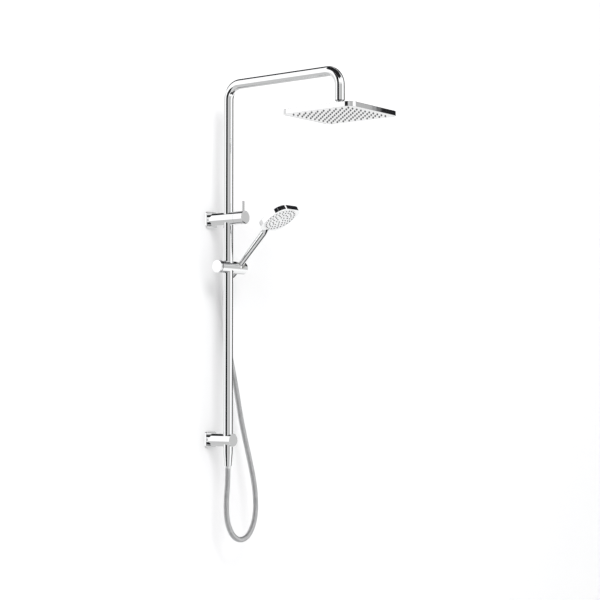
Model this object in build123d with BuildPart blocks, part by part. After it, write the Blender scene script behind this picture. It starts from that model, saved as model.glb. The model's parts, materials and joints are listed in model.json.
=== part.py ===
"""Rainfall shower column: an overhead shower on a bent riser, a slide rail, a handset and its hose.

The frame: the wall face is the plane Y = 0, +Y goes into the wall, +X is to the right for a
person who faces the wall, and +Z is up. The origin is the centre of the upper wall flange's
back face, where the water comes in. All sizes are in millimetres.
"""

import os
from math import cos, pi, radians, sin, sqrt, tan

from build123d import *

# ---- Driving dimensions -------------------------------------------------------------------

# Column
TUBE_D = 25.0
TUBE_WALL = 1.2
BODY_D = 32.0  # the round bracket bodies, the slider and the diverter handle
STAND_OFF = 60.0  # wall face to column axis
BRACKET_SPACING = 560.0  # upper bracket axis to lower bracket axis
ARM_HEIGHT = 340.0  # arm axis above the upper bracket axis
ARM_REACH = 350.0  # column axis to the drop tube's axis
BEND_R = 37.5
COLLAR_TOP = 274.0  # where the drop tube ends and the swivel collar begins
STUB_LENGTH = 14.0  # the rail below the lower bracket body

# Wall flanges
FLANGE_SIDE = 40.0
FLANGE_T = 5.0
FLANGE_CORNER_R = 6.0

# Fits
RUN = 0.05  # radial clearance of a part that turns or slides in another
SEAT = 0.1  # clearance of a part that is only assembled into another

# Threads, as plain cylinders of the thread's outer diameter
G_HALF_D = 20.9

# Diverter handle
HANDLE_SEAM = 87.4  # wall face to the back of the handle hub
HANDLE_FACE = 116.0  # wall face to the front of the handle's cap
LEVER_D = 6.5
LEVER_TOP = 41.5  # above the handle's axis
LEVER_OUT = 109.5  # wall face to the lever's axis

# Lower bracket
LOWER_FACE = 78.0  # wall face to the front of its end cap

# Slider, on the rail
SLIDER_Z = -123.0
SLIDER_LEFT = -36.5
SLIDER_RIGHT = 59.0
SOCKET_X = 37.5  # the handset's socket, from the rail's axis
BUTTON_FACE = -44.0
BUTTON_T = 5.0
BUTTON_TRAVEL = 2.0

# Handset
HANDSET_LEAN = 45.0  # degrees from vertical, towards the room
HANDLE_LOW_D = 16.0
HANDLE_TOP_D = 18.0
HANDLE_END = 122.0  # from the slider's axis, along the handle
HEAD_ALONG = 178.5  # the spray face's centre, from the slider's axis along the handle
HEAD_DROP = 17.0  # and in front of the handle's axis
HEAD_BEND = 14.2  # degrees between the handle's axis and the spray face
HEAD_W = 90.0
HEAD_L = 93.0
HEAD_T = 12.3
HEAD_CORNER_R = 28.0
HAND_RING_R = (10.0, 20.0, 29.5, 38.0)
HAND_RING_COUNT = (6, 13, 20, 26)
HAND_FACE_R = 41.8

# Hose and its cone nuts
HOSE_D = 14.0
HOSE_BORE = 9.0
NUT_TOP_D = 25.0
NUT_END_D = 19.0
NUT_LENGTH = 35.0
NUT_TOP_S = 9.0  # the upper nut's top, from the slider's axis along the handle

# Overhead shower
RAIN_W = 200.0  # along the wall
RAIN_D = 210.0  # out from the wall
RAIN_T = 12.0
RAIN_TOP = 240.0
RAIN_CORNER_R = 20.0
RAIN_BORDER = 4.0
RAIN_ROWS = 10
RAIN_PITCH_X = 17.0
RAIN_PITCH_Y = 18.0
BALL_R = 9.0
BALL_Z = 269.5
COLLAR_END = 262.6

# The hose's route, from the lower nut's end to the upper nut's end. The upper nut's end and
# the corner before it are worked out, so that the hose leaves the nut in line with it. The
# hose is one piece on the object. Here it is two tubes, cut on a straight run: the first
# follows the slider's travel, and the second also follows the slider's turn.
HOSE_ROUTE = [
    (0, -60, -625),
    (0, -60, -662),
    (-6, -60, -712),
    (-4, -60, -763),
    (18, -60.5, -802),
    (51.5, -61, -816),
    (86, -61, -803),
    (111, -61, -757),
    (114, -56, -684),
    (97, -47, -598),
    (79, -37.5, -513),
    (67, -29.5, -423),
    (53, -20, -340),
    (46, -15, -261),
]
HOSE_TOP_ROUTE = [(41.5, -14.5, -211), (39, -17.5, -177)]
TOP_RUN = 20.0  # the straight run into the upper nut

# ---- Places and planes --------------------------------------------------------------------

TUBE_R = TUBE_D / 2
BODY_R = BODY_D / 2
LOWER_Z = -BRACKET_SPACING
RAIL_END = LOWER_Z - BODY_R - STUB_LENGTH
DROP_Y = -STAND_OFF - ARM_REACH
LEAN = radians(HANDSET_LEAN)


def wall_plane(height, out):
    """A plane parallel to the wall, out from its face; extrusions go into the room."""
    return Plane(origin=(0, -out, height), x_dir=(1, 0, 0), z_dir=(0, -1, 0))


def along_x(x, height=SLIDER_Z):
    """A plane across the slider's axis; extrusions go to +X."""
    return Plane(origin=(x, -STAND_OFF, height), x_dir=(0, 1, 0), z_dir=(1, 0, 0))


def up_plane(z, y=-STAND_OFF, x=0.0):
    """A level plane; extrusions go up."""
    return Plane(origin=(x, y, z))


HANDLE_AXIS = Vector(0, -sin(LEAN), cos(LEAN))
HANDLE_BACK = Vector(0, cos(LEAN), sin(LEAN))
SOCKET = Vector(SOCKET_X, -STAND_OFF, SLIDER_Z)


def handle_plane(s):
    """A plane across the handset's handle, s from the slider's axis; extrusions go up it."""
    return Plane(origin=SOCKET + HANDLE_AXIS * s, x_dir=(1, 0, 0), z_dir=HANDLE_AXIS)


FACE_TILT = radians(90 - HANDSET_LEAN - HEAD_BEND)  # the spray face above level
FACE_BACK = Vector(0, sin(FACE_TILT), cos(FACE_TILT))  # from the spray face into the head
FACE_CENTRE = SOCKET + HANDLE_AXIS * HEAD_ALONG - HANDLE_BACK * HEAD_DROP


def face_plane(depth):
    """A plane parallel to the handset's spray face, depth into the head."""
    return Plane(origin=FACE_CENTRE + FACE_BACK * depth, x_dir=(1, 0, 0), z_dir=FACE_BACK)


os.makedirs("parts", exist_ok=True)


def save(part, name):
    part.label = name
    export_step(part, f"parts/{name}.step")


def disc(plane, radius, length, bore=0.0):
    """A round bar or ring on a plane."""
    with BuildPart() as made:
        with BuildSketch(plane):
            Circle(radius)
            if bore:
                Circle(bore, mode=Mode.SUBTRACT)
        extrude(amount=length)
    return made.part


# ---- Column -------------------------------------------------------------------------------


def wall_flange(height, hole_r):
    with BuildPart() as flange:
        with BuildSketch(wall_plane(height, 0)):
            RectangleRounded(FLANGE_SIDE, FLANGE_SIDE, FLANGE_CORNER_R)
            Circle(hole_r, mode=Mode.SUBTRACT)
        extrude(amount=FLANGE_T)
        front = flange.faces().sort_by(Axis.Y)[0]
        fillet(front.outer_wire().edges(), radius=0.8)
    return flange.part


save(wall_flange(0, G_HALF_D / 2 + SEAT), "upper_flange")

SPIGOT_R = 11.0
save(wall_flange(LOWER_Z, SPIGOT_R + SEAT), "lower_flange")

NIPPLE_OUT = 14.0  # how far the inlet's thread stands into the wall
NIPPLE_IN = 16.8
NIPPLE_BORE_R = 7.5
with BuildPart() as inlet_nipple:
    with BuildSketch(wall_plane(0, -NIPPLE_OUT)):
        Circle(G_HALF_D / 2)
    extrude(amount=NIPPLE_OUT)
    with BuildSketch(wall_plane(0, 0)):
        Circle(G_HALF_D / 2 - 0.2)
    extrude(amount=NIPPLE_IN)
    with BuildSketch(wall_plane(0, -NIPPLE_OUT)):
        Circle(NIPPLE_BORE_R)
    extrude(amount=NIPPLE_OUT + NIPPLE_IN, mode=Mode.SUBTRACT)
save(inlet_nipple.part, "inlet_nipple")

with BuildPart() as inlet_filter:
    with BuildSketch(wall_plane(0, -NIPPLE_OUT + 1)):
        Circle(NIPPLE_BORE_R - SEAT)
        with HexLocations(1.6, 3, 3):
            Circle(0.9, mode=Mode.SUBTRACT)
    extrude(amount=1.5)
save(inlet_filter.part, "inlet_filter")

# The upper bracket's body. The tubes stand in its sockets, the water passes between them at
# mid height, and the diverter cartridge sits in its front.
SOCKET_FLOOR = 4.2  # above and below the bracket's axis
SEAL_R = 0.9
SEAL_Z = 5.7
SEAL_CENTRE_R = TUBE_R + SEAL_R + RUN
CHAMBER_FLOOR = 73.4  # out from the wall
CHAMBER_R = 12.1
MOUTH_FLOOR = 81.0
MOUTH_R = 13.05
BODY_FRONT = 87.0
GRUB_R = 2.5
GRUB_OUT = 11.0
with BuildPart() as diverter_body:
    with BuildSketch(wall_plane(0, FLANGE_T)):
        Circle(BODY_R)
    extrude(amount=BODY_FRONT - FLANGE_T)
    with BuildSketch(wall_plane(0, FLANGE_T)):
        Circle(G_HALF_D / 2)
    extrude(amount=NIPPLE_IN - FLANGE_T + SEAT, mode=Mode.SUBTRACT)
    with BuildSketch(wall_plane(0, FLANGE_T)):
        Circle(3.5)
    extrude(amount=CHAMBER_FLOOR - FLANGE_T, mode=Mode.SUBTRACT)
    with BuildSketch(wall_plane(0, CHAMBER_FLOOR)):
        Circle(CHAMBER_R)
    extrude(amount=BODY_FRONT - CHAMBER_FLOOR, mode=Mode.SUBTRACT)
    with BuildSketch(wall_plane(0, MOUTH_FLOOR)):
        Circle(MOUTH_R)
    extrude(amount=BODY_FRONT - MOUTH_FLOOR, mode=Mode.SUBTRACT)
    for side in (1, -1):
        with BuildSketch(up_plane(side * SOCKET_FLOOR)):
            Circle(TUBE_R + RUN)
        extrude(amount=side * BODY_R, mode=Mode.SUBTRACT)
        with BuildSketch(up_plane(side * (SEAL_Z - SEAL_R - SEAT))):
            Circle(SEAL_CENTRE_R + SEAL_R + RUN)
        extrude(amount=side * 2 * (SEAL_R + SEAT), mode=Mode.SUBTRACT)
    with BuildSketch(up_plane(-BODY_R, -GRUB_OUT)):
        Circle(GRUB_R + RUN)
    extrude(amount=BODY_R - 3.5, mode=Mode.SUBTRACT)
save(diverter_body.part, "diverter_body")

with BuildPart() as tube_seals:
    for side in (1, -1):
        with Locations((0, -STAND_OFF, side * SEAL_Z)):
            Torus(SEAL_CENTRE_R, SEAL_R)
save(tube_seals.part, "tube_seals")

with BuildPart() as riser_arm:
    with BuildLine() as riser_path:
        FilletPolyline(
            (0, -STAND_OFF, SOCKET_FLOOR + SEAT),
            (0, -STAND_OFF, ARM_HEIGHT),
            (0, DROP_Y, ARM_HEIGHT),
            (0, DROP_Y, COLLAR_TOP + RUN),
            radius=BEND_R,
        )
    with BuildSketch(up_plane(SOCKET_FLOOR + SEAT)):
        Circle(TUBE_R)
        Circle(TUBE_R - TUBE_WALL, mode=Mode.SUBTRACT)
    sweep(path=riser_path.line)
save(riser_arm.part, "riser_arm")

rail_top = -SOCKET_FLOOR - SEAT
save(disc(up_plane(RAIL_END), TUBE_R, rail_top - RAIL_END, TUBE_R - TUBE_WALL), "rail_tube")

# The lower bracket slides over a spigot that is screwed to the wall.
SPIGOT_END = 16.8
CAP_T = 2.0
CAP_SPIGOT = 2.2
CAP_SPIGOT_R = 13.4
lower_front = LOWER_FACE - CAP_T
with BuildPart() as lower_bracket_body:
    with BuildSketch(wall_plane(LOWER_Z, FLANGE_T)):
        Circle(BODY_R)
    extrude(amount=lower_front - FLANGE_T)
    with BuildSketch(wall_plane(LOWER_Z, FLANGE_T)):
        Circle(SPIGOT_R + SEAT)
    extrude(amount=SPIGOT_END - FLANGE_T + SEAT, mode=Mode.SUBTRACT)
    with BuildSketch(up_plane(LOWER_Z - BODY_R)):
        Circle(TUBE_R + RUN)
    extrude(amount=BODY_D, mode=Mode.SUBTRACT)
    with BuildSketch(wall_plane(LOWER_Z, lower_front - CAP_SPIGOT - SEAT)):
        Circle(CAP_SPIGOT_R + RUN)
    extrude(amount=CAP_SPIGOT + SEAT, mode=Mode.SUBTRACT)
    with BuildSketch(up_plane(LOWER_Z - BODY_R, -GRUB_OUT)):
        Circle(GRUB_R + RUN)
    extrude(amount=BODY_R - 3.5, mode=Mode.SUBTRACT)
save(lower_bracket_body.part, "lower_bracket_body")

with BuildPart() as lower_end_cap:
    with BuildSketch(wall_plane(LOWER_Z, lower_front)):
        Circle(BODY_R + 0.2)
    extrude(amount=CAP_T)
    fillet(lower_end_cap.faces().sort_by(Axis.Y)[0].edges(), radius=0.6)
    with BuildSketch(wall_plane(LOWER_Z, lower_front - CAP_SPIGOT)):
        Circle(CAP_SPIGOT_R)
    extrude(amount=CAP_SPIGOT)
save(lower_end_cap.part, "lower_end_cap")

SCREW_R = 2.5
SHANK_R = 2.2  # the plain length under the head
SCREW_HEAD_R = 5.0
SCREW_HEAD_T = 3.0
SCREW_IN_WALL = 30.0
with BuildPart() as lower_wall_spigot:
    with BuildSketch(wall_plane(LOWER_Z, 0)):
        Circle(SPIGOT_R)
        Circle(SCREW_R + SEAT, mode=Mode.SUBTRACT)
    extrude(amount=SPIGOT_END)
    with BuildSketch(wall_plane(LOWER_Z, SPIGOT_END)):
        Circle(SCREW_HEAD_R + SEAT)
    with BuildSketch(wall_plane(LOWER_Z, SPIGOT_END - SCREW_HEAD_T)):
        Circle(SCREW_R + SEAT)
    loft(mode=Mode.SUBTRACT)
save(lower_wall_spigot.part, "lower_wall_spigot")

with BuildPart() as lower_wall_screw:
    with BuildSketch(wall_plane(LOWER_Z, SPIGOT_END - SCREW_HEAD_T)):
        Circle(SHANK_R)
    with BuildSketch(wall_plane(LOWER_Z, SPIGOT_END)):
        Circle(SCREW_HEAD_R)
    loft()
    with BuildSketch(wall_plane(LOWER_Z, 0)):
        Circle(SHANK_R)
    extrude(amount=SPIGOT_END - SCREW_HEAD_T)
    with BuildSketch(wall_plane(LOWER_Z, 0)):
        Circle(SCREW_R)
    extrude(amount=-SCREW_IN_WALL)
    with BuildSketch(wall_plane(LOWER_Z, SPIGOT_END - 1.6)):
        Rectangle(4.6, 1.2)
        Rectangle(1.2, 4.6)
    extrude(amount=1.6, mode=Mode.SUBTRACT)
save(lower_wall_screw.part, "lower_wall_screw")

with BuildPart() as bracket_grub_screws:
    for height, stop in ((0, -G_HALF_D / 2), (LOWER_Z, -SPIGOT_R)):
        with BuildSketch(up_plane(height + stop - SEAT, -GRUB_OUT)):
            Circle(GRUB_R)
        extrude(amount=-4.5)
        with BuildSketch(up_plane(height + stop - SEAT - 4.5, -GRUB_OUT)):
            RegularPolygon(1.25, 6)
        extrude(amount=2.0, mode=Mode.SUBTRACT)
save(bracket_grub_screws.part, "bracket_grub_screws")

# ---- Diverter -----------------------------------------------------------------------------

HOUSING_BACK = CHAMBER_FLOOR + 1.0
CAVITY_R = 9.1
DISC_T = 3.0
CERAMIC_R = CAVITY_R - 2 * RUN
CAVITY_END = 84.0
SHAFT_R = 4.5
HOUSING_END = 99.0
with BuildPart() as cartridge_housing:
    with BuildSketch(wall_plane(0, HOUSING_BACK)):
        Circle(CHAMBER_R - RUN)
    extrude(amount=MOUTH_FLOOR - HOUSING_BACK)
    with BuildSketch(wall_plane(0, MOUTH_FLOOR)):
        Circle(10.2)
    extrude(amount=5)
    with BuildSketch(wall_plane(0, MOUTH_FLOOR + 5)):
        Circle(7)
    extrude(amount=HOUSING_END - MOUTH_FLOOR - 5)
    with BuildSketch(wall_plane(0, HOUSING_BACK)):
        Circle(CAVITY_R)
    extrude(amount=CAVITY_END - HOUSING_BACK, mode=Mode.SUBTRACT)
    with BuildSketch(wall_plane(0, CAVITY_END)):
        Circle(SHAFT_R + RUN)
    extrude(amount=HOUSING_END - CAVITY_END, mode=Mode.SUBTRACT)
save(cartridge_housing.part, "cartridge_housing")

save(disc(wall_plane(0, CHAMBER_FLOOR), 11.5, 1.0, 8.0), "cartridge_seal")


def ceramic_disc(out, ports):
    """A valve disc with its water ports."""
    with BuildPart() as made:
        with BuildSketch(wall_plane(0, out)):
            Circle(CERAMIC_R)
            with PolarLocations(5.0, ports):
                Circle(2.2, mode=Mode.SUBTRACT)
        extrude(amount=DISC_T)
    return made.part


fixed_disc_out = HOUSING_BACK + 0.2
turning_disc_out = fixed_disc_out + DISC_T + SEAT
save(ceramic_disc(fixed_disc_out, 2), "ceramic_disc_fixed")
save(ceramic_disc(turning_disc_out, 1), "ceramic_disc_turning")

save(disc(wall_plane(0, MOUTH_FLOOR + SEAT), MOUTH_R - RUN, 7.0, 10.3), "cartridge_nut")

SQUARE = 6.0
SHAFT_END = 107.0
spindle_base = turning_disc_out + DISC_T + RUN
with BuildPart() as diverter_spindle:
    with BuildSketch(wall_plane(0, spindle_base)):
        Circle(CERAMIC_R)
    extrude(amount=CAVITY_END - SEAT - spindle_base)
    with BuildSketch(wall_plane(0, spindle_base)):
        Circle(SHAFT_R)
    extrude(amount=100 - spindle_base)
    with BuildSketch(wall_plane(0, spindle_base)):
        Rectangle(SQUARE, SQUARE)
    extrude(amount=SHAFT_END - spindle_base)
save(diverter_spindle.part, "diverter_spindle")

HUB_CAVITY_R = 13.7
HUB_CAVITY_END = 101.0
HUB_FRONT = HANDLE_FACE - 2.2
CAP_PLUG_R = 7.0
CAP_PLUG = 3.0
LEVER_ROOT = 8.0
HANDLE_GRUB_R = 2.0
HANDLE_GRUB_OUT = 104.0
with BuildPart() as handle_hub:
    with BuildSketch(wall_plane(0, HANDLE_SEAM)):
        Circle(BODY_R)
    extrude(amount=HUB_FRONT - HANDLE_SEAM)
    with BuildSketch(wall_plane(0, HANDLE_SEAM)):
        Circle(HUB_CAVITY_R)
    extrude(amount=HUB_CAVITY_END - HANDLE_SEAM, mode=Mode.SUBTRACT)
    with BuildSketch(wall_plane(0, HUB_CAVITY_END)):
        Rectangle(SQUARE + 2 * RUN, SQUARE + 2 * RUN)
    extrude(amount=SHAFT_END + 0.2 - HUB_CAVITY_END, mode=Mode.SUBTRACT)
    with BuildSketch(wall_plane(0, HUB_FRONT - CAP_PLUG - SEAT)):
        Circle(CAP_PLUG_R + RUN)
    extrude(amount=CAP_PLUG + SEAT, mode=Mode.SUBTRACT)
    with BuildSketch(up_plane(LEVER_ROOT, -LEVER_OUT)):
        Circle(LEVER_D / 2 + 0.02)
    extrude(amount=BODY_R, mode=Mode.SUBTRACT)
    with BuildSketch(up_plane(-BODY_R, -HANDLE_GRUB_OUT)):
        Circle(HANDLE_GRUB_R + RUN)
    extrude(amount=BODY_R - SQUARE / 2, mode=Mode.SUBTRACT)
save(handle_hub.part, "handle_hub")

with BuildPart() as handle_cap:
    with BuildSketch(wall_plane(0, HUB_FRONT)):
        Circle(BODY_R + 0.4)
    extrude(amount=HANDLE_FACE - HUB_FRONT)
    fillet(handle_cap.faces().sort_by(Axis.Y)[0].edges(), radius=0.5)
    with BuildSketch(wall_plane(0, HUB_FRONT - CAP_PLUG)):
        Circle(CAP_PLUG_R)
    extrude(amount=CAP_PLUG)
save(handle_cap.part, "handle_cap")

with BuildPart() as lever_pin:
    with BuildSketch(up_plane(LEVER_ROOT + SEAT, -LEVER_OUT)):
        Circle(LEVER_D / 2)
    extrude(amount=LEVER_TOP - LEVER_ROOT - SEAT)
    fillet(lever_pin.faces().sort_by(Axis.Z)[-1].edges(), radius=1.2)
save(lever_pin.part, "lever_pin")

with BuildPart() as handle_grub_screw:
    with BuildSketch(up_plane(-SQUARE / 2 - SEAT, -HANDLE_GRUB_OUT)):
        Circle(HANDLE_GRUB_R)
    extrude(amount=-6.0)
    with BuildSketch(up_plane(-SQUARE / 2 - SEAT - 6.0, -HANDLE_GRUB_OUT)):
        RegularPolygon(1.0, 6)
    extrude(amount=2.0, mode=Mode.SUBTRACT)
save(handle_grub_screw.part, "handle_grub_screw")

# ---- Slider -------------------------------------------------------------------------------

BUSH_R = 13.4
BUSH_LOW = 3.0
BUSH_HIGH = 8.4
YOKE_T = 3.8
YOKE_HALF = 14.2
YOKE_LEFT = -30.0
YOKE_RIGHT = 17.0
STEM_R = 7.0
STEM_END = -22.0
BORE_R = 11.0
BORE_FLOOR = -20.0
LINER_T = 1.0
SLOT_W = 15.0  # the slot that the hose passes when the handset is taken off
cone_rate = (NUT_TOP_D - NUT_END_D) / 2 / NUT_LENGTH


def nut_radius(s):
    """The upper nut's outside radius, s from the slider's axis along the handle."""
    return NUT_TOP_D / 2 - (NUT_TOP_S - s) * cone_rate


SOCKET_REACH = 24.0
with BuildPart() as slider_body:
    with BuildSketch(along_x(SLIDER_LEFT)):
        Circle(BODY_R)
    extrude(amount=SLIDER_RIGHT - SLIDER_LEFT)
    fillet(slider_body.faces().sort_by(Axis.X)[-1].edges(), radius=0.6)
    with BuildSketch(up_plane(SLIDER_Z - BODY_R)):
        Circle(BUSH_R + RUN)
    extrude(amount=BODY_D, mode=Mode.SUBTRACT)
    with BuildSketch(along_x(SLIDER_LEFT)):
        Circle(BORE_R)
    extrude(amount=BORE_FLOOR - SLIDER_LEFT, mode=Mode.SUBTRACT)
    with BuildSketch(along_x(BORE_FLOOR)):
        Rectangle(2 * YOKE_HALF + 0.6, YOKE_T + 0.4)
    extrude(amount=YOKE_RIGHT + BUTTON_TRAVEL + 0.4 - BORE_FLOOR, mode=Mode.SUBTRACT)
    with BuildSketch(handle_plane(-SOCKET_REACH)):
        Circle(nut_radius(-SOCKET_REACH) + 2 * SEAT + LINER_T)
    with BuildSketch(handle_plane(SOCKET_REACH)):
        Circle(nut_radius(SOCKET_REACH) + 2 * SEAT + LINER_T)
    loft(mode=Mode.SUBTRACT)
    with BuildSketch(handle_plane(-SOCKET_REACH)):
        with Locations((0, BODY_R)):
            Rectangle(SLOT_W, BODY_D)
    extrude(amount=2 * SOCKET_REACH, mode=Mode.SUBTRACT)
save(slider_body.part, "slider_body")

with BuildPart() as socket_liner:
    with BuildSketch(handle_plane(-SOCKET_REACH)):
        Circle(nut_radius(-SOCKET_REACH) + SEAT + LINER_T)
    with BuildSketch(handle_plane(SOCKET_REACH)):
        Circle(nut_radius(SOCKET_REACH) + SEAT + LINER_T)
    loft()
    with BuildSketch(handle_plane(-SOCKET_REACH)):
        Circle(nut_radius(-SOCKET_REACH) + SEAT)
    with BuildSketch(handle_plane(SOCKET_REACH)):
        Circle(nut_radius(SOCKET_REACH) + SEAT)
    loft(mode=Mode.SUBTRACT)
    with BuildSketch(handle_plane(-SOCKET_REACH)):
        with Locations((0, BODY_R)):
            Rectangle(SLOT_W, BODY_D)
    extrude(amount=2 * SOCKET_REACH, mode=Mode.SUBTRACT)
    with BuildSketch(along_x(0)):
        Circle(BODY_R - 0.3)
    extrude(amount=SLIDER_RIGHT, mode=Mode.INTERSECT)
save(socket_liner.part, "socket_liner")

with BuildPart() as slider_bushes:
    for low in (BUSH_LOW, -BUSH_HIGH):
        with BuildSketch(up_plane(SLIDER_Z + low)):
            Circle(BUSH_R)
            Circle(TUBE_R + 0.03, mode=Mode.SUBTRACT)
        extrude(amount=BUSH_HIGH - BUSH_LOW)
save(slider_bushes.part, "slider_bushes")

with BuildPart() as release_button:
    with BuildSketch(along_x(BUTTON_FACE)):
        Circle(BODY_R + 0.2)
    extrude(amount=BUTTON_T)
    fillet(release_button.faces().sort_by(Axis.X)[0].edges(), radius=0.6)
    with BuildSketch(along_x(BUTTON_FACE + BUTTON_T)):
        Circle(STEM_R)
    extrude(amount=STEM_END - BUTTON_FACE - BUTTON_T)
    with BuildSketch(along_x(YOKE_LEFT)):
        Rectangle(BODY_D, YOKE_T + SEAT)
    extrude(amount=STEM_END - YOKE_LEFT, mode=Mode.SUBTRACT)
save(release_button.part, "release_button")

# The yoke goes round the rail. The spring pulls its pad against the rail's right side, and
# the button pushes it clear.
PAD_W = 8.0
PAD_FACE_R = TUBE_R + RUN
PAD_BACK = 14.5
YOKE_NECK_W = 12.0
with BuildPart() as brake_yoke:
    with BuildSketch(up_plane(SLIDER_Z - YOKE_T / 2)):
        with Locations(((YOKE_RIGHT - 17.5) / 2, 0)):
            RectangleRounded(YOKE_RIGHT + 17.5, 2 * YOKE_HALF, 2.0)
        with Locations(((YOKE_LEFT - 15) / 2, 0)):
            Rectangle(-15 - YOKE_LEFT, YOKE_NECK_W)
        with Locations((-1.0, 0)):
            SlotCenterToCenter(2.4, 2 * (TUBE_R + 0.4), mode=Mode.SUBTRACT)
        with Locations((PAD_BACK - 1.5, 0)):
            Rectangle(3.0, PAD_W + SEAT, mode=Mode.SUBTRACT)
    extrude(amount=YOKE_T)
save(brake_yoke.part, "brake_yoke")

with BuildPart() as brake_pad:
    with BuildSketch(up_plane(SLIDER_Z - YOKE_T / 2 + SEAT)):
        with Locations((PAD_BACK - 1.5, 0)):
            Rectangle(3.0 - SEAT, PAD_W)
        Circle(PAD_FACE_R, mode=Mode.SUBTRACT)
    extrude(amount=YOKE_T - 2 * SEAT)
save(brake_pad.part, "brake_pad")

SPRING_WIRE_R = 0.6
SPRING_R = 9.0
spring_start = BUTTON_FACE + BUTTON_T + SPRING_WIRE_R + RUN
spring_end = BORE_FLOOR - SPRING_WIRE_R - RUN
with BuildPart() as button_spring:
    with BuildLine():
        spring_path = Helix(
            pitch=3.0,
            height=spring_end - spring_start,
            radius=SPRING_R,
            center=(spring_start, -STAND_OFF, SLIDER_Z),
            direction=(1, 0, 0),
        )
    with BuildSketch(Plane(origin=spring_path @ 0, z_dir=spring_path % 0)):
        Circle(SPRING_WIRE_R)
    sweep(path=spring_path, is_frenet=True)
save(button_spring.part, "button_spring")

# ---- Hose ends: cone nut, washer and ferrule ----------------------------------------------

THREAD_DEPTH = 12.0
WASHER_T = 1.8
WASHER_R = 9.6
FERRULE_FLANGE_R = 9.8
FERRULE_FLANGE_T = 2.2
FERRULE_R = 7.3
washer_at = THREAD_DEPTH - 1.0  # depths are from the nut's wide end
flange_at = washer_at + WASHER_T + SEAT


def nut_plane(depth, upper):
    """A plane across a hose nut, depth from its wide end towards the hose."""
    if upper:
        at = SOCKET + HANDLE_AXIS * (NUT_TOP_S - depth)
        return Plane(origin=at, x_dir=(1, 0, 0), z_dir=-HANDLE_AXIS)
    return Plane(origin=(0, -STAND_OFF, RAIL_END - depth), x_dir=(1, 0, 0), z_dir=(0, 0, -1))


def hose_end(upper, name):
    """The cone nut with its thread and inner lip, the rubber washer, and the ferrule."""
    start = 0.0 if upper else SEAT
    with BuildPart() as nut:
        with BuildSketch(nut_plane(start, upper)):
            Circle(NUT_TOP_D / 2)
        with BuildSketch(nut_plane(NUT_LENGTH, upper)):
            Circle(NUT_END_D / 2)
        loft()
        with BuildSketch(nut_plane(start, upper)):
            Circle(G_HALF_D / 2 + RUN)
        extrude(amount=flange_at + FERRULE_FLANGE_T + SEAT - start, mode=Mode.SUBTRACT)
        with BuildSketch(nut_plane(start, upper)):
            Circle(FERRULE_R + SEAT)
        extrude(amount=NUT_LENGTH - start, mode=Mode.SUBTRACT)
    save(nut.part, f"hose_nut_{name}")
    save(disc(nut_plane(washer_at, upper), WASHER_R, WASHER_T, 5.5), f"hose_washer_{name}")
    with BuildPart() as ferrule:
        with BuildSketch(nut_plane(flange_at, upper)):
            Circle(FERRULE_FLANGE_R)
        extrude(amount=FERRULE_FLANGE_T)
        with BuildSketch(nut_plane(flange_at, upper)):
            Circle(FERRULE_R)
        extrude(amount=NUT_LENGTH - flange_at)
        with BuildSketch(nut_plane(flange_at, upper)):
            Circle(HOSE_BORE / 2)
        extrude(amount=NUT_LENGTH - flange_at, mode=Mode.SUBTRACT)
    save(ferrule.part, f"hose_ferrule_{name}")


hose_end(False, "lower")
hose_end(True, "upper")

# The outlet at the rail's foot, with the lower nut's thread.
OUTLET_PLUG = 15.0
with BuildPart() as outlet_nipple:
    with BuildSketch(up_plane(RAIL_END)):
        Circle(TUBE_R - TUBE_WALL - RUN)
    extrude(amount=OUTLET_PLUG)
    with BuildSketch(up_plane(RAIL_END)):
        Circle(G_HALF_D / 2)
    extrude(amount=-washer_at + SEAT)
    with BuildSketch(up_plane(RAIL_END - washer_at)):
        Circle(6.0)
    extrude(amount=OUTLET_PLUG + washer_at, mode=Mode.SUBTRACT)
save(outlet_nipple.part, "outlet_nipple")

# ---- Handset ------------------------------------------------------------------------------

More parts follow.
